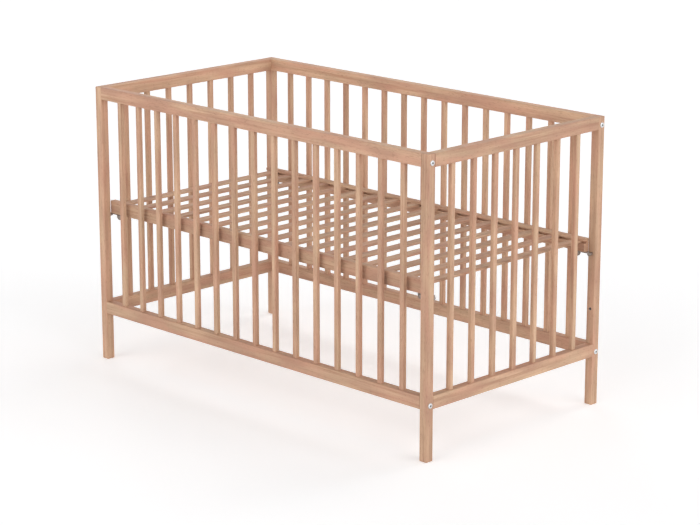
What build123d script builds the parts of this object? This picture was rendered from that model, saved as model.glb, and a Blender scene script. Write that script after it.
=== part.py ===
from build123d import *
import os

# A baby crib of solid beech: four square posts, a slatted panel on each side
# and a slatted base whose steel tongues rest on pins half way up the posts.
# Millimetres, X along the crib, Y across it, Z up from the floor under its middle.

# Overall size over the wood
LENGTH = 1250.0
WIDTH = 664.0
HEIGHT = 777.0

# Posts and the rails between them
POST = 24.0
POST_ROUND = 2.0
POST_EASE = 1.2
RAIL_THICK = 24.0
RAIL_HEIGHT = 34.0
RAIL_ROUND = 2.0
LEG_BELOW = 134.0

# Upright slats, with a square tenon at each end
SIDE_SLATS = 15
END_SLATS = 7
SLAT_WIDTH = 15.0
SLAT_THICK = 12.0
SLAT_ROUND = 2.5
TENON_WIDTH = 10.0
TENON_THICK = 8.0
TENON_DEPTH = 12.0

# Glued stub tenons of the end rails
STUB_WIDTH = 10.0
STUB_HEIGHT = 22.0
STUB_DEPTH = 7.0

# Corner fixing: bolt through the post, barrel nut and dowel in the side rail
BOLT_D = 6.0
BOLT_RISE = 12.0
BOLT_IN_RAIL = 38.0
HEAD_D = 14.0
HEAD_HEIGHT = 2.8
HEAD_ROUND = 1.6
SOCKET_WIDTH = 4.6
SOCKET_DEPTH = 2.2
NUT_D = 10.0
NUT_LENGTH = 18.0
NUT_INSET = 30.0
DOWEL_D = 8.0
DOWEL_RISE = 25.0
DOWEL_IN_POST = 10.0
DOWEL_IN_RAIL = 18.0

# Slatted base: two grooved rails with thin slats across
BASE_BOTTOM = 419.0
BASE_RAIL_HEIGHT = 36.0
BASE_RAIL_THICK = 18.0
BASE_RAIL_ROUND = 2.0
BASE_SIDE_GAP = 2.8
BASE_END_INSET = 21.0
BASE_SLATS = 17
BASE_SLAT_WIDTH = 29.0
BASE_SLAT_THICK = 6.0
BASE_SLAT_ROUND = 1.5
BASE_SLAT_MARGIN = 13.0
BASE_SLAT_DROP = 7.5
GROOVE_DEPTH = 9.0

# Steel tongues under the ends of the base rails, each bolted on from below
TONGUE_THICK = 2.5
TONGUE_WIDTH = 14.0
TONGUE_BEYOND_BOLT = 11.0
TONGUE_BEYOND_RAIL = 10.0
BASE_BOLT_INSET = 52.0
BASE_BOLT_LENGTH = 21.0
KNOB_D = 20.0
KNOB_HEIGHT = 12.0
KNOB_ROUND = 8.0
WASHER_D = 22.0
WASHER_THICK = 1.6
BASE_NUT_RISE = 11.0
BASE_NUT_LENGTH = 14.0

# Pins that carry the tongues, and the two rows of threaded inserts that take them
PIN_D = 9.0
PIN_REACH = 14.0
PIN_FLAT = 1.2
PIN_ROUND = 1.0
PIN_STUD = 12.0
INSERT_D = 8.4
INSERT_LENGTH = 13.0
INSERT_STEP = 150.0

# Clearances: glued joints, fasteners in their holes, and threads
GLUE_GAP = 0.1
HOLE_GAP = 0.3
THREAD_GAP = 0.1

# Places that the sizes above lead to
X_IN = LENGTH / 2 - POST
Y_IN = WIDTH / 2 - POST
X_POST = LENGTH / 2 - POST / 2
Y_POST = WIDTH / 2 - POST / 2
TOP_RAIL_Z = HEIGHT - RAIL_HEIGHT
LOW_RAIL_Z = LEG_BELOW
SLAT_LENGTH = TOP_RAIL_Z - LOW_RAIL_Z - RAIL_HEIGHT
Y_BASE_OUT = Y_IN - BASE_SIDE_GAP
Y_BASE_IN = Y_BASE_OUT - BASE_RAIL_THICK
Y_BASE_MID = Y_BASE_OUT - BASE_RAIL_THICK / 2
X_BASE_END = LENGTH / 2 - BASE_END_INSET
X_BASE_BOLT = LENGTH / 2 - BASE_BOLT_INSET
BASE_SLAT_Z = BASE_BOTTOM + BASE_RAIL_HEIGHT - BASE_SLAT_DROP - BASE_SLAT_THICK
TONGUE_Z = BASE_BOTTOM - TONGUE_THICK
KNOB_SEAT_Z = TONGUE_Z - WASHER_THICK
BASE_NUT_Z = BASE_BOTTOM + BASE_NUT_RISE
PIN_Z = TONGUE_Z - PIN_D / 2 + PIN_FLAT
INSERT_LEVELS = (PIN_Z - INSERT_STEP, PIN_Z)

ENDS = {"left": -1, "right": 1}
SIDES = {"front": -1, "back": 1}
CORNERS = [(side, sy, end, sx) for side, sy in SIDES.items() for end, sx in ENDS.items()]


def along_x(radius, length, x, y, z):
    """A cylinder that lies along X, centred at a point."""
    return Pos(x, y, z) * Rot(0, 90, 0) * Cylinder(radius, length)


def along_y(radius, length, x, y, z):
    """A cylinder that lies along Y, centred at a point."""
    return Pos(x, y, z) * Rot(90, 0, 0) * Cylinder(radius, length)


def upright(radius, low, high, x, y):
    """A vertical cylinder between two heights."""
    return Pos(x, y, (low + high) / 2) * Cylinder(radius, high - low)


def spread(count, span, width):
    """Centres of equal pieces with equal gaps between them, about zero."""
    pitch = (span - count * width) / (count + 1) + width
    return [(i - (count - 1) / 2) * pitch for i in range(count)]


def to_corner(shape, sx, sy):
    """Carry a piece made at the right back corner to another corner."""
    if sx < 0:
        shape = mirror(shape, Plane.YZ)
    if sy < 0:
        shape = mirror(shape, Plane.XZ)
    return shape


SIDE_SLAT_X = spread(SIDE_SLATS, 2 * X_IN, SLAT_WIDTH)
END_SLAT_Y = spread(END_SLATS, 2 * Y_IN, SLAT_WIDTH)


def post():
    """Right back post, with the holes and mortises of its joints."""
    body = extrude(RectangleRounded(POST, POST, POST_ROUND), HEIGHT)
    body = chamfer(body.faces().sort_by(Axis.Z)[0].edges(), POST_EASE)
    body = fillet(body.faces().sort_by(Axis.Z)[-1].edges(), POST_EASE)
    body = Pos(X_POST, Y_POST, 0) * body
    for rail_z in (LOW_RAIL_Z, TOP_RAIL_Z):
        body -= along_x(BOLT_D / 2 + HOLE_GAP, POST, X_POST, Y_POST, rail_z + BOLT_RISE)
        dowel_x = X_IN + DOWEL_IN_POST / 2
        body -= along_x(DOWEL_D / 2 + GLUE_GAP, DOWEL_IN_POST, dowel_x, Y_POST, rail_z + DOWEL_RISE)
        mortise = Box(STUB_WIDTH + 2 * GLUE_GAP, STUB_DEPTH, STUB_HEIGHT + 2 * GLUE_GAP)
        body -= Pos(X_POST, Y_IN + STUB_DEPTH / 2, rail_z + RAIL_HEIGHT / 2) * mortise
    for insert_z in INSERT_LEVELS:
        insert_y = Y_IN + INSERT_LENGTH / 2
        body -= along_y(INSERT_D / 2 + GLUE_GAP, INSERT_LENGTH, X_POST, insert_y, insert_z)
    return body


def slat_mortises(places, rail_z, at_top):
    """Mortises for the slats, in a rail's lower face at the top and upper face below."""
    z = rail_z + TENON_DEPTH / 2 if at_top else rail_z + RAIL_HEIGHT - TENON_DEPTH / 2
    hole = Box(TENON_WIDTH + 2 * GLUE_GAP, TENON_THICK + 2 * GLUE_GAP, TENON_DEPTH)
    return [Pos(place, 0, z) * hole for place in places]


def side_rail(rail_z, at_top, sy):
    """Long rail of the front or back, bored at its ends for bolt, nut and dowel."""
    section = RectangleRounded(RAIL_THICK, RAIL_HEIGHT, RAIL_ROUND)
    body = Pos(0, 0, rail_z + RAIL_HEIGHT / 2) * extrude(Plane.YZ * section, X_IN, both=True)
    for hole in slat_mortises(SIDE_SLAT_X, rail_z, at_top):
        body -= hole
    for sx in ENDS.values():
        bolt_x = sx * (X_IN - BOLT_IN_RAIL / 2)
        body -= along_x(BOLT_D / 2 + HOLE_GAP, BOLT_IN_RAIL, bolt_x, 0, rail_z + BOLT_RISE)
        body -= upright(NUT_D / 2 + GLUE_GAP, rail_z, rail_z + NUT_LENGTH, sx * (X_IN - NUT_INSET), 0)
        dowel_x = sx * (X_IN - DOWEL_IN_RAIL / 2)
        body -= along_x(DOWEL_D / 2 + GLUE_GAP, DOWEL_IN_RAIL, dowel_x, 0, rail_z + DOWEL_RISE)
    return Pos(0, sy * Y_POST, 0) * body


def end_rail(rail_z, at_top, sx):
    """Short rail of an end, with a stub tenon into each post."""
    section = RectangleRounded(RAIL_THICK, RAIL_HEIGHT, RAIL_ROUND)
    body = Pos(0, 0, rail_z + RAIL_HEIGHT / 2) * extrude(Plane.YZ * section, Y_IN, both=True)
    for hole in slat_mortises(END_SLAT_Y, rail_z, at_top):
        body -= hole
    for end in (-1, 1):
        stub_x = end * (Y_IN + STUB_DEPTH / 2)
        body += Pos(stub_x, 0, rail_z + RAIL_HEIGHT / 2) * Box(STUB_DEPTH, STUB_WIDTH, STUB_HEIGHT)
    return Pos(sx * X_POST, 0, 0) * Rot(0, 0, 90) * body


def upright_slat():
    """Slat with rounded edges that stands between two rails, its width along X."""
    body = extrude(RectangleRounded(SLAT_WIDTH, SLAT_THICK, SLAT_ROUND), SLAT_LENGTH / 2, both=True)
    body += Box(TENON_WIDTH, TENON_THICK, SLAT_LENGTH + 2 * TENON_DEPTH)
    return Pos(0, 0, LOW_RAIL_Z + RAIL_HEIGHT + SLAT_LENGTH / 2) * body


def corner_bolt(bolt_z):
    """Bolt along X at the right back corner: low round head with a hexagon socket."""
    head = extrude(Circle(HEAD_D / 2), HEAD_HEIGHT)
    head = fillet(head.edges().sort_by(Axis.Z)[-1], HEAD_ROUND)
    socket = extrude(RegularPolygon(SOCKET_WIDTH / 2, 6, major_radius=False), SOCKET_DEPTH)
    head -= Pos(0, 0, HEAD_HEIGHT - SOCKET_DEPTH) * socket
    reach = POST + BOLT_IN_RAIL
    bolt = head + Pos(0, 0, -reach / 2) * Cylinder(BOLT_D / 2, reach)
    return Pos(LENGTH / 2, Y_POST, bolt_z) * Rot(0, 90, 0) * bolt


def corner_nut(rail_z):
    """Barrel nut in the underside of a side rail, open for the bolt."""
    x = X_IN - NUT_INSET
    body = upright(NUT_D / 2, rail_z, rail_z + NUT_LENGTH, x, Y_POST)
    return body - along_x(BOLT_D / 2 + THREAD_GAP, NUT_D, x, Y_POST, rail_z + BOLT_RISE)


def rail_dowel(dowel_z):
    """Beech dowel that keeps a side rail from turning on its bolt."""
    x = X_IN + (DOWEL_IN_POST - DOWEL_IN_RAIL) / 2
    return along_x(DOWEL_D / 2, DOWEL_IN_POST + DOWEL_IN_RAIL, x, Y_POST, dowel_z)


def pin_insert(insert_z):
    """Threaded sleeve let into the inner face of a post."""
    y = Y_IN + INSERT_LENGTH / 2
    sleeve = along_y(INSERT_D / 2, INSERT_LENGTH, X_POST, y, insert_z)
    return sleeve - along_y(BOLT_D / 2 + THREAD_GAP, INSERT_LENGTH, X_POST, y, insert_z)


def support_pin():
    """Steel pin with a threaded stud, flat on top where a tongue rests on it."""
    body = along_y(PIN_D / 2, PIN_REACH, X_POST, Y_IN - PIN_REACH / 2, PIN_Z)
    body = fillet(body.edges().sort_by(Axis.Y)[0], PIN_ROUND)
    body -= Pos(X_POST, Y_IN - PIN_REACH / 2, TONGUE_Z + PIN_FLAT) * Box(PIN_D, PIN_REACH, 2 * PIN_FLAT)
    return body + along_y(BOLT_D / 2, PIN_STUD, X_POST, Y_IN + PIN_STUD / 2, PIN_Z)


def base_tongue():
    """Flat steel strip with round ends, under a base rail and out over the pin."""
    low = X_BASE_BOLT - TONGUE_BEYOND_BOLT
    high = X_BASE_END + TONGUE_BEYOND_RAIL
    body = extrude(SlotOverall(high - low, TONGUE_WIDTH), TONGUE_THICK)
    body = Pos((low + high) / 2, Y_BASE_MID, TONGUE_Z) * body
    return body - upright(BOLT_D / 2 + HOLE_GAP, TONGUE_Z, BASE_BOTTOM, X_BASE_BOLT, Y_BASE_MID)


def base_bolt():
    """Bolt with a domed grip, from below through washer and tongue into the base rail."""
    grip = extrude(Circle(KNOB_D / 2), KNOB_HEIGHT)
    grip = fillet(grip.edges().sort_by(Axis.Z)[0], KNOB_ROUND)
    grip = Pos(X_BASE_BOLT, Y_BASE_MID, KNOB_SEAT_Z - KNOB_HEIGHT) * grip
    return grip + upright(BOLT_D / 2, KNOB_SEAT_Z, KNOB_SEAT_Z + BASE_BOLT_LENGTH, X_BASE_BOLT, Y_BASE_MID)


def base_washer():
    """Wide washer between the grip and the tongue."""
    disc = upright(WASHER_D / 2, KNOB_SEAT_Z, TONGUE_Z, X_BASE_BOLT, Y_BASE_MID)
    return disc - upright(BOLT_D / 2 + HOLE_GAP, KNOB_SEAT_Z, TONGUE_Z, X_BASE_BOLT, Y_BASE_MID)


def base_nut():
    """Barrel nut in the inner face of a base rail, open for the bolt from below."""
    body = along_y(NUT_D / 2, BASE_NUT_LENGTH, X_BASE_BOLT, Y_BASE_IN + BASE_NUT_LENGTH / 2, BASE_NUT_Z)
    hole = upright(BOLT_D / 2 + THREAD_GAP, BASE_NUT_Z - NUT_D, BASE_NUT_Z + NUT_D, X_BASE_BOLT, Y_BASE_MID)
    return body - hole


def base_rail():
    """Long rail at the back of the base, grooved inside for the slats."""
    section = RectangleRounded(BASE_RAIL_THICK, BASE_RAIL_HEIGHT, BASE_RAIL_ROUND)
    body = extrude(Plane.YZ * section, X_BASE_END, both=True)
    body = Pos(0, Y_BASE_MID, BASE_BOTTOM + BASE_RAIL_HEIGHT / 2) * body
    groove_height = BASE_SLAT_THICK + 2 * GLUE_GAP
    groove = Box(2 * X_BASE_END, GROOVE_DEPTH, groove_height)
    body -= Pos(0, Y_BASE_IN + GROOVE_DEPTH / 2, BASE_SLAT_Z + groove_height / 2) * groove
    tip = KNOB_SEAT_Z + BASE_BOLT_LENGTH + HOLE_GAP
    nut_y = Y_BASE_IN + BASE_NUT_LENGTH / 2
    for sx in ENDS.values():
        x = sx * X_BASE_BOLT
        body -= upright(BOLT_D / 2 + HOLE_GAP, BASE_BOTTOM, tip, x, Y_BASE_MID)
        body -= along_y(NUT_D / 2 + GLUE_GAP, BASE_NUT_LENGTH, x, nut_y, BASE_NUT_Z)
    return body


def base_slat():
    """Thin cross slat with its ends in the grooves."""
    half = Y_BASE_IN + GROOVE_DEPTH - GLUE_GAP
    section = RectangleRounded(BASE_SLAT_WIDTH, BASE_SLAT_THICK, BASE_SLAT_ROUND)
    return Pos(0, 0, BASE_SLAT_Z + BASE_SLAT_THICK / 2) * extrude(Plane.XZ * section, half, both=True)


def save(node, shapes):
    """Write one node: a single solid, or a group of separate ones."""
    solids = [solid for shape in shapes for solid in shape.solids()]
    export_step(solids[0] if len(solids) == 1 else Compound(solids), f"parts/{node}.step")


def at_corners(shapes):
    """Copies of pieces of the right back corner at all four corners."""
    return [to_corner(shape, sx, sy) for _, sy, _, sx in CORNERS for shape in shapes]


os.makedirs("parts", exist_ok=True)

right_back_post = post()
tongue = base_tongue()
for side, sy, end, sx in CORNERS:
    save(f"post_{side}_{end}", [to_corner(right_back_post, sx, sy)])
    save(f"base_tongue_{side}_{end}", [to_corner(tongue, sx, sy)])

for level, rail_z in (("top", TOP_RAIL_Z), ("bottom", LOW_RAIL_Z)):
    for side, sy in SIDES.items():
        save(f"{side}_{level}_rail", [side_rail(rail_z, level == "top", sy)])
    for end, sx in ENDS.items():
        save(f"{end}_{level}_rail", [end_rail(rail_z, level == "top", sx)])

slat = upright_slat()
for side, sy in SIDES.items():
    save(f"{side}_slats", [Pos(x, sy * Y_POST, 0) * slat for x in SIDE_SLAT_X])
for end, sx in ENDS.items():
    for number, y in enumerate(END_SLAT_Y, start=1):
        save(f"{end}_slat_{number}", [Pos(sx * X_POST, y, 0) * Rot(0, 0, 90) * slat])

rail_levels = (LOW_RAIL_Z, TOP_RAIL_Z)
save("corner_bolts", at_corners([corner_bolt(z + BOLT_RISE) for z in rail_levels]))
save("corner_barrel_nuts", at_corners([corner_nut(z) for z in rail_levels]))
save("rail_dowels", at_corners([rail_dowel(z + DOWEL_RISE) for z in rail_levels]))
save("pin_inserts", at_corners([pin_insert(z) for z in INSERT_LEVELS]))
save("support_pins", at_corners([support_pin()]))
save("base_bolts", at_corners([base_bolt()]))
save("base_washers", at_corners([base_washer()]))
save("base_barrel_nuts", at_corners([base_nut()]))

back_rail = base_rail()
save("base_rail_back", [back_rail])
save("base_rail_front", [to_corner(back_rail, 1, -1)])

last_slat_x = X_BASE_END - BASE_SLAT_MARGIN - BASE_SLAT_WIDTH / 2
base_pitch = 2 * last_slat_x / (BASE_SLATS - 1)
cross_slat = base_slat()
for number in range(1, BASE_SLATS + 1):
    save(f"base_slat_{number:02d}", [Pos((number - 1) * base_pitch - last_slat_x, 0, 0) * cross_slat])
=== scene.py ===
import math

import bpy
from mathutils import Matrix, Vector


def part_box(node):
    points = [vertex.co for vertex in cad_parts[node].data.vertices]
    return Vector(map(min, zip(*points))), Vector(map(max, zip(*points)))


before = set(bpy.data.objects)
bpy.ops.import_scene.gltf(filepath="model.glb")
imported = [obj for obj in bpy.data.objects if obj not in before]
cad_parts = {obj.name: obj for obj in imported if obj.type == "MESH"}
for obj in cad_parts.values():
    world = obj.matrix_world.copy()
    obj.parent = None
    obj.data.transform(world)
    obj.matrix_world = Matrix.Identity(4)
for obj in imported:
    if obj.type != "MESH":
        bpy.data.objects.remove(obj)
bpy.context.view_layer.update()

# Posts: four square beech posts that stand on the floor and carry everything else.
# Planed from straight-grained stock with the grain running up them, edges rounded over,
# then sealed with a clear matt lacquer.


def linear(hex_colour):
    """A written sRGB colour as the linear one that a shader works with."""
    parts = [int(hex_colour[i : i + 2], 16) / 255 for i in (1, 3, 5)]
    return [c / 12.92 if c <= 0.04045 else ((c + 0.055) / 1.055) ** 2.4 for c in parts] + [1.0]


def add_node(material, kind, inputs=None, **settings):
    """One node with its settings. An input is a value, or another node's socket to link."""
    tree = material.node_tree
    made = tree.nodes.new(kind)
    for name, value in settings.items():
        setattr(made, name, value)
    for name, value in (inputs or {}).items():
        if isinstance(value, bpy.types.NodeSocket):
            tree.links.new(value, made.inputs[name])
        else:
            made.inputs[name].default_value = value
    return made


def new_material(name):
    """An empty material, with its output node ready to link."""
    material = bpy.data.materials.new(name)
    material.use_nodes = True
    material.node_tree.nodes.clear()
    return material, material.node_tree.nodes.new("ShaderNodeOutputMaterial")


mm = 0.001
uncut = 5000


def beech(name, grain, stick_mm, tones=(0.94, 1.06)):
    """Planed beech under matt lacquer, with its grain along one axis.

    Steamed beech is an even pinkish tan: soft growth bands about 9 mm wide, finer streaks that
    follow the grain, short dark flecks, and clouds of redder and yellower wood as wide as a stick.
    stick_mm is the size of the cells, counted from the origin, that hold one stick each; uncut is
    longer than the crib. From its cell a stick takes its own tone, between the two in tones, and
    its own figure. The lacquer is too rough to draw a bright line along the edges.
    """
    material, output = new_material(name)
    figure_shift_m = 40.0
    coords = add_node(material, "ShaderNodeTexCoord")
    place = coords.outputs["Object"]
    centred = add_node(
        material, "ShaderNodeVectorMath", {0: place, 1: [s / 2 * mm for s in stick_mm]}, operation="ADD"
    )
    snapped = add_node(
        material,
        "ShaderNodeVectorMath",
        {0: centred.outputs[0], 1: [s * mm for s in stick_mm]},
        operation="SNAP",
    )
    stick = add_node(
        material, "ShaderNodeTexWhiteNoise", {"Vector": snapped.outputs[0]}, noise_dimensions="3D"
    )
    apart = add_node(
        material,
        "ShaderNodeVectorMath",
        {0: stick.outputs["Color"], "Scale": figure_shift_m},
        operation="SCALE",
    )
    figure = add_node(material, "ShaderNodeVectorMath", {0: place, 1: apart.outputs[0]}, operation="ADD")

    def along_grain(long_mm, wide_mm, detail):
        """Noise drawn out along the grain, at its real length and width."""
        scale = [1 / ((long_mm if axis == grain else wide_mm) * mm) for axis in "XYZ"]
        stretched = add_node(
            material, "ShaderNodeVectorMath", {0: figure.outputs[0], 1: scale}, operation="MULTIPLY"
        )
        return add_node(
            material,
            "ShaderNodeTexNoise",
            {"Vector": stretched.outputs[0], "Scale": 1.0, "Detail": detail, "Roughness": 0.55},
        ).outputs["Fac"]

    bands = along_grain(700, 9, 1.0)
    # Real streaks and flecks are under 1 mm wide; they are drawn wider, to show at the picture's distance.
    streaks = along_grain(110, 3, 3.0)
    flecks = along_grain(11, 1.4, 0.0)
    clouds = along_grain(150, 28, 1.0)
    shade = along_grain(95, 20, 0.0)
    both = add_node(material, "ShaderNodeMath", {0: bands, 1: streaks}, operation="ADD")
    half = add_node(material, "ShaderNodeMath", {0: both.outputs[0], 1: 0.5}, operation="MULTIPLY")
    ramp = add_node(material, "ShaderNodeValToRGB", {"Fac": half.outputs[0]})
    stops = ramp.color_ramp.elements
    stops[0].position = 0.34
    stops[0].color = linear("#B88C71")
    stops[1].position = 0.64
    stops[1].color = linear("#D4B293")
    stops.new(0.48).color = linear("#C9A487")
    redder = add_node(
        material,
        "ShaderNodeMapRange",
        {"Value": clouds, "From Min": 0.40, "From Max": 0.66, "To Min": 0.0, "To Max": 0.7},
    )
    warm = add_node(
        material,
        "ShaderNodeMix",
        {0: redder.outputs[0], 6: ramp.outputs["Color"], 7: linear("#C4937C")},
        data_type="RGBA",
    )
    flecked = add_node(
        material,
        "ShaderNodeMapRange",
        {"Value": flecks, "From Min": 0.66, "From Max": 0.76, "To Min": 0.0, "To Max": 0.35},
    )
    dashed = add_node(
        material,
        "ShaderNodeMix",
        {0: flecked.outputs[0], 6: warm.outputs[2], 7: linear("#8F6149")},
        data_type="RGBA",
    )
    own_tone = add_node(
        material,
        "ShaderNodeMapRange",
        {"Value": stick.outputs["Value"], "To Min": tones[0], "To Max": tones[1]},
    )
    cloud_tone = add_node(
        material,
        "ShaderNodeMapRange",
        {"Value": shade, "From Min": 0.25, "From Max": 0.75, "To Min": 0.90, "To Max": 1.10},
    )
    tone = add_node(
        material, "ShaderNodeMath", {0: own_tone.outputs[0], 1: cloud_tone.outputs[0]}, operation="MULTIPLY"
    )
    toned = add_node(
        material,
        "ShaderNodeVectorMath",
        {0: dashed.outputs[2], "Scale": tone.outputs[0]},
        operation="SCALE",
    )
    facing = add_node(material, "ShaderNodeSeparateXYZ", {0: coords.outputs["Normal"]})
    across = add_node(material, "ShaderNodeMath", {0: facing.outputs[grain]}, operation="ABSOLUTE")
    end_grain = add_node(
        material,
        "ShaderNodeMapRange",
        {"Value": across.outputs[0], "From Min": 0.75, "From Max": 0.95, "To Max": 0.6},
    )
    pores = add_node(
        material, "ShaderNodeTexNoise", {"Vector": place, "Scale": 1 / (2.5 * mm), "Detail": 2.0}
    )
    cut = add_node(
        material,
        "ShaderNodeMix",
        {0: pores.outputs["Fac"], 6: linear("#A67C62"), 7: linear("#C69C7E")},
        data_type="RGBA",
    )
    colour = add_node(
        material,
        "ShaderNodeMix",
        {0: end_grain.outputs[0], 6: toned.outputs[0], 7: cut.outputs[2]},
        data_type="RGBA",
    )
    gloss = add_node(material, "ShaderNodeMapRange", {"Value": streaks, "To Min": 0.78, "To Max": 0.62})
    relief = add_node(
        material, "ShaderNodeBump", {"Height": streaks, "Strength": 0.25, "Distance": 0.2 * mm}
    )
    surface = add_node(
        material,
        "ShaderNodeBsdfPrincipled",
        {
            "Base Color": colour.outputs[2],
            "Roughness": gloss.outputs[0],
            "IOR": 1.5,
            "Normal": relief.outputs["Normal"],
        },
    )
    material.node_tree.links.new(surface.outputs[0], output.inputs["Surface"])
    return material


def dress(nodes, material):
    """Give CAD pieces their finish."""
    for name in nodes:
        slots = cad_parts[name].data.materials
        slots.clear()
        slots.append(material)


corners = [f"{side}_{end}" for side in ("front", "back") for end in ("left", "right")]
dress([f"post_{corner}" for corner in corners], beech("Beech planed posts", "Z", (770, 465, uncut)))

# Long rails: four beech rails that run along the crib between the posts, top and bottom.
# Mortised for the slats and bored at the ends for a bolt, its barrel nut and a dowel.
long_rails = [f"{side}_{level}_rail" for side in ("front", "back") for level in ("top", "bottom")]
dress(long_rails, beech("Beech planed long rails", "X", (uncut, 485, 400)))

# End rails: the same section across the two ends, glued to the posts with stub tenons.
# Their grain runs across the crib, so they take the light a little differently.
end_rails = [f"{end}_{level}_rail" for end in ("left", "right") for level in ("top", "bottom")]
dress(end_rails, beech("Beech planed end rails", "Y", (560, uncut, 380)))

# Upright slats: thin beech slats with rounded edges, tenoned into the rails above and below.
# Ripped from many boards, so neighbours differ in tone.
side_count = 15
end_count = 7
first_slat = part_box("left_slat_1")
second_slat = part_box("left_slat_2")
side_low, side_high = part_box("front_slats")
end_pitch_mm = (second_slat[0].y - first_slat[0].y) / mm
slat_width_mm = (first_slat[1].y - first_slat[0].y) / mm
side_pitch_mm = ((side_high.x - side_low.x) / mm - slat_width_mm) / (side_count - 1)
end_slats = [f"{end}_slat_{i + 1}" for end in ("left", "right") for i in range(end_count)]
dress(
    ["front_slats", "back_slats"] + end_slats,
    beech("Beech moulded slats", "Z", (side_pitch_mm, end_pitch_mm, uncut)),
)

# Dowels: turned beech pegs between posts and long rails, out of sight once it is built.
# Eight of them keep the rails from turning on their single bolts.
dress(["rail_dowels"], beech("Beech turned dowels", "X", (400, 400, 400)))

# Corner bolts and barrel nuts: zinc-plated steel, eight of each, that draw the long rails
# to the posts. Only their low round heads show, and the shade in their hexagon sockets is painted in as a
# darker steel.
head_mm = 14.0
socket_mm = 4.6


def socket_painted_shade(material, place):
    """1 inside the hexagon sockets of the corner bolts, where shade is painted in, 0 elsewhere."""
    low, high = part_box("corner_bolts")
    reach = (high - low) / 2
    axis = (0, reach.y - head_mm / 2 * mm, reach.z - head_mm / 2 * mm)
    offset = add_node(
        material, "ShaderNodeVectorMath", {0: place, 1: (low + high) / 2}, operation="SUBTRACT"
    )
    folded = add_node(material, "ShaderNodeVectorMath", {0: offset.outputs[0]}, operation="ABSOLUTE")
    aside = add_node(
        material, "ShaderNodeVectorMath", {0: folded.outputs[0], 1: axis}, operation="SUBTRACT"
    )
    across = add_node(
        material, "ShaderNodeVectorMath", {0: aside.outputs[0], 1: (0, 1, 1)}, operation="MULTIPLY"
    )
    radius = add_node(material, "ShaderNodeVectorMath", {0: across.outputs[0]}, operation="LENGTH")
    flat = socket_mm / 2 * mm
    corner = flat / math.cos(math.radians(30))
    return add_node(
        material,
        "ShaderNodeMapRange",
        {
            "Value": radius.outputs["Value"],
            "From Min": flat,
            "From Max": corner,
            "To Min": 1.0,
            "To Max": 0.0,
        },
    ).outputs[0]


def zinc_steel(name, bright, dull, grit_mm, smooth, rough, painted_recess_shade=None):
    """Zinc-plated steel: a soft silver that breaks up the light in a fine uneven film.

    The last argument marks recesses where shade is painted into the colour as a darker steel.
    """
    material, output = new_material(name)
    coords = add_node(material, "ShaderNodeTexCoord")
    film = add_node(
        material,
        "ShaderNodeTexNoise",
        {"Vector": coords.outputs["Object"], "Scale": 1 / (grit_mm * mm), "Detail": 2.0},
    )
    colour = add_node(
        material,
        "ShaderNodeMix",
        {0: film.outputs["Fac"], 6: linear(dull), 7: linear(bright)},
        data_type="RGBA",
    )
    # Painted shade: the marked recesses take a darker steel colour, as shade would fall in them.
    if painted_recess_shade:
        colour = add_node(
            material,
            "ShaderNodeMix",
            {0: painted_recess_shade(material, coords.outputs["Object"]), 6: colour.outputs[2], 7: linear("#908C87")},
            data_type="RGBA",
        )
    gloss = add_node(
        material, "ShaderNodeMapRange", {"Value": film.outputs["Fac"], "To Min": rough, "To Max": smooth}
    )
    surface = add_node(
        material,
        "ShaderNodeBsdfPrincipled",
        {"Base Color": colour.outputs[2], "Metallic": 1.0, "Roughness": gloss.outputs[0]},
    )
    material.node_tree.links.new(surface.outputs[0], output.inputs["Surface"])
    return material


dress(
    ["corner_bolts", "corner_barrel_nuts"],
    zinc_steel("Zinc plated bolts", "#E9EAEB", "#C9CCCE", 2.0, 0.18, 0.34, socket_painted_shade),
)

# Support pins: short zinc-plated steel pins that screw into inserts in the inner faces of the posts.
# The base hangs on four of them; four more inserts lower down are empty.
dress(
    ["pin_inserts", "support_pins"],
    zinc_steel("Zinc plated support pins", "#A89E97", "#867A71", 2.0, 0.34, 0.5),
)

# Slatted base: two grooved beech rails with thin beech slats let into the grooves.
# It is a piece by itself, so that it can be lifted off its pins.
base_count = 17
# The base wood is painted darker than the frame, for the shade that falls on it inside the crib.
base_painted_shade_tones = (0.86, 0.97)
base_slats = [f"base_slat_{i + 1:02d}" for i in range(base_count)]
base_pitch_mm = (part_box(base_slats[1])[0].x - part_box(base_slats[0])[0].x) / mm
dress(
    ["base_rail_front", "base_rail_back"],
    beech("Beech planed base rails", "X", (uncut, 400, uncut), base_painted_shade_tones),
)
dress(base_slats, beech("Beech sawn base slats", "Y", (base_pitch_mm, uncut, uncut), base_painted_shade_tones))

# Base tongues: strips of 2.5 mm galvanised steel under the ends of the base rails, which lie on the pins.
# A zinc-plated bolt with a domed grip and a wide washer holds each from below, in a barrel nut in the rail.
dress(
    [f"base_tongue_{corner}" for corner in corners],
    zinc_steel("Galvanised steel tongues", "#A59B95", "#83776F", 6.0, 0.38, 0.55),
)
dress(
    ["base_bolts", "base_washers", "base_barrel_nuts"],
    zinc_steel("Zinc plated base bolts", "#A0968F", "#7E736B", 2.0, 0.3, 0.5),
)

# Floor: a plain studio floor, painted matt white, on which the posts stand.
# The camera sees it white outside the crib's soft shadow.
floor_mesh = bpy.data.meshes.new("studio_floor")
floor_half = 40.0
floor_corners = [(x * floor_half, y * floor_half, 0) for x, y in ((-1, -1), (1, -1), (1, 1), (-1, 1))]
floor_mesh.from_pydata(floor_corners, [], [(0, 1, 2, 3)])
floor = bpy.data.objects.new("studio_floor", floor_mesh)
bpy.context.scene.collection.objects.link(floor)


def seen_directly(material):
    """1 for what the camera sees, straight or by way of metal or glass, 0 for light that bounces."""
    rays = add_node(material, "ShaderNodeLightPath").outputs
    mirrored = add_node(
        material,
        "ShaderNodeMath",
        {0: rays["Is Camera Ray"], 1: rays["Is Glossy Ray"]},
        operation="MAXIMUM",
    )
    through = add_node(
        material,
        "ShaderNodeMath",
        {0: mirrored.outputs[0], 1: rays["Is Transmission Ray"]},
        operation="MAXIMUM",
    )
    return through.outputs[0]


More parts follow.
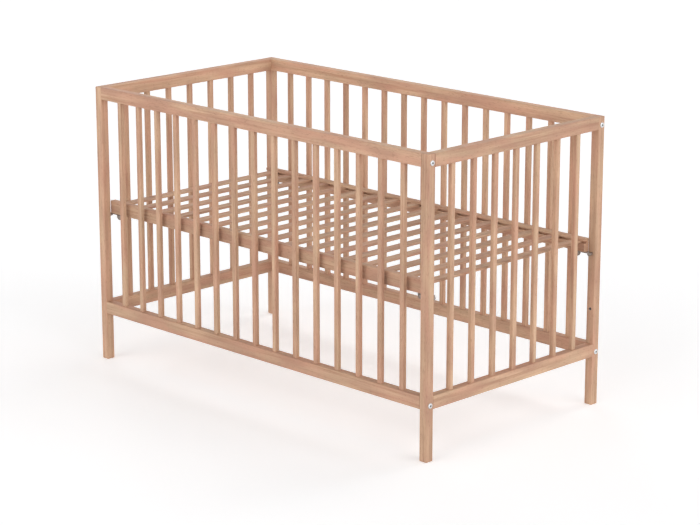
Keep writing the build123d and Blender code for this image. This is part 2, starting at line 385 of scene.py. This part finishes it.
# Matt emulsion, which scatters light evenly. The lift is what the camera sees above the light that falls
# on it: it takes the open floor to white and leaves the shadow.
paint, paint_output = new_material("White painted studio floor")
camera_lift = 0.3
seen_floor = seen_directly(paint)
paint_colour = add_node(
    paint, "ShaderNodeMix", {0: seen_floor, 6: linear("#F6F4F2"), 7: linear("#FAFAFB")}, data_type="RGBA"
)
paint_film = add_node(paint, "ShaderNodeBsdfDiffuse", {"Color": paint_colour.outputs[2]})
paint_lift = add_node(paint, "ShaderNodeMath", {0: seen_floor, 1: camera_lift}, operation="MULTIPLY")
paint_glow = add_node(
    paint, "ShaderNodeEmission", {"Color": linear("#FFFFFF"), "Strength": paint_lift.outputs[0]}
)
paint_surface = add_node(paint, "ShaderNodeAddShader", {0: paint_film.outputs[0], 1: paint_glow.outputs[0]})
paint.node_tree.links.new(paint_surface.outputs[0], paint_output.inputs["Surface"])
floor_mesh.materials.append(paint)

# Light: a white dome that is brightest low down, as walls of soft boxes make it. Two broad low lamps
# model the front and right faces, and two narrower ones behind draw the soft shadow to the front.
world = bpy.data.worlds.new("studio_dome")
bpy.context.scene.world = world
world.use_nodes = True
world.node_tree.nodes.clear()
horizon_strength = 1.13
zenith_strength = 0.0
white = linear("#FFFFFF")
dome_output = add_node(world, "ShaderNodeOutputWorld")
dome_place = add_node(world, "ShaderNodeTexCoord")
dome_up = add_node(world, "ShaderNodeSeparateXYZ", {0: dome_place.outputs["Generated"]})
dome_fall = add_node(
    world,
    "ShaderNodeMapRange",
    {"Value": dome_up.outputs["Z"], "To Min": horizon_strength, "To Max": zenith_strength},
)
dome = add_node(world, "ShaderNodeBackground", {"Color": white, "Strength": dome_fall.outputs[0]})
backdrop = add_node(world, "ShaderNodeBackground", {"Color": white, "Strength": 1.0})
sky = add_node(
    world, "ShaderNodeMixShader", {0: seen_directly(world), 1: dome.outputs[0], 2: backdrop.outputs[0]}
)
world.node_tree.links.new(sky.outputs[0], dome_output.inputs["Surface"])
for name, strength, spread, elevation, azimuth in (
    ("lamp_right", 1.2, 60, 20, 8),
    ("lamp_front", 1.05, 60, 20, -95),
    ("lamp_back", 0.42, 22, 50, 85),
    ("lamp_left", 0.4, 26, 24, 150),
):
    lamp = bpy.data.lights.new(name, "SUN")
    lamp.energy = strength
    lamp.angle = math.radians(spread)
    lamp_object = bpy.data.objects.new(name, lamp)
    lamp_object.rotation_euler = (0, math.radians(90 - elevation), math.radians(azimuth))
    bpy.context.scene.collection.objects.link(lamp_object)

# Camera: looks down on the right front corner from six metres away and about two metres up,
# with a long lens that keeps the rails nearly parallel.
tilt_down = 14.895
turn_left = 44.859
camera = bpy.data.cameras.new("camera")
camera.sensor_width = 36.0
camera.lens = 120.6
camera.clip_end = 200.0
camera_object = bpy.data.objects.new("camera", camera)
camera_object.location = (4.340, -4.331, 1.963)
camera_object.rotation_euler = (math.radians(90 - tilt_down), 0, math.radians(turn_left))
bpy.context.scene.collection.objects.link(camera_object)
bpy.context.scene.camera = camera_object
bpy.context.scene.view_settings.view_transform = "Standard"
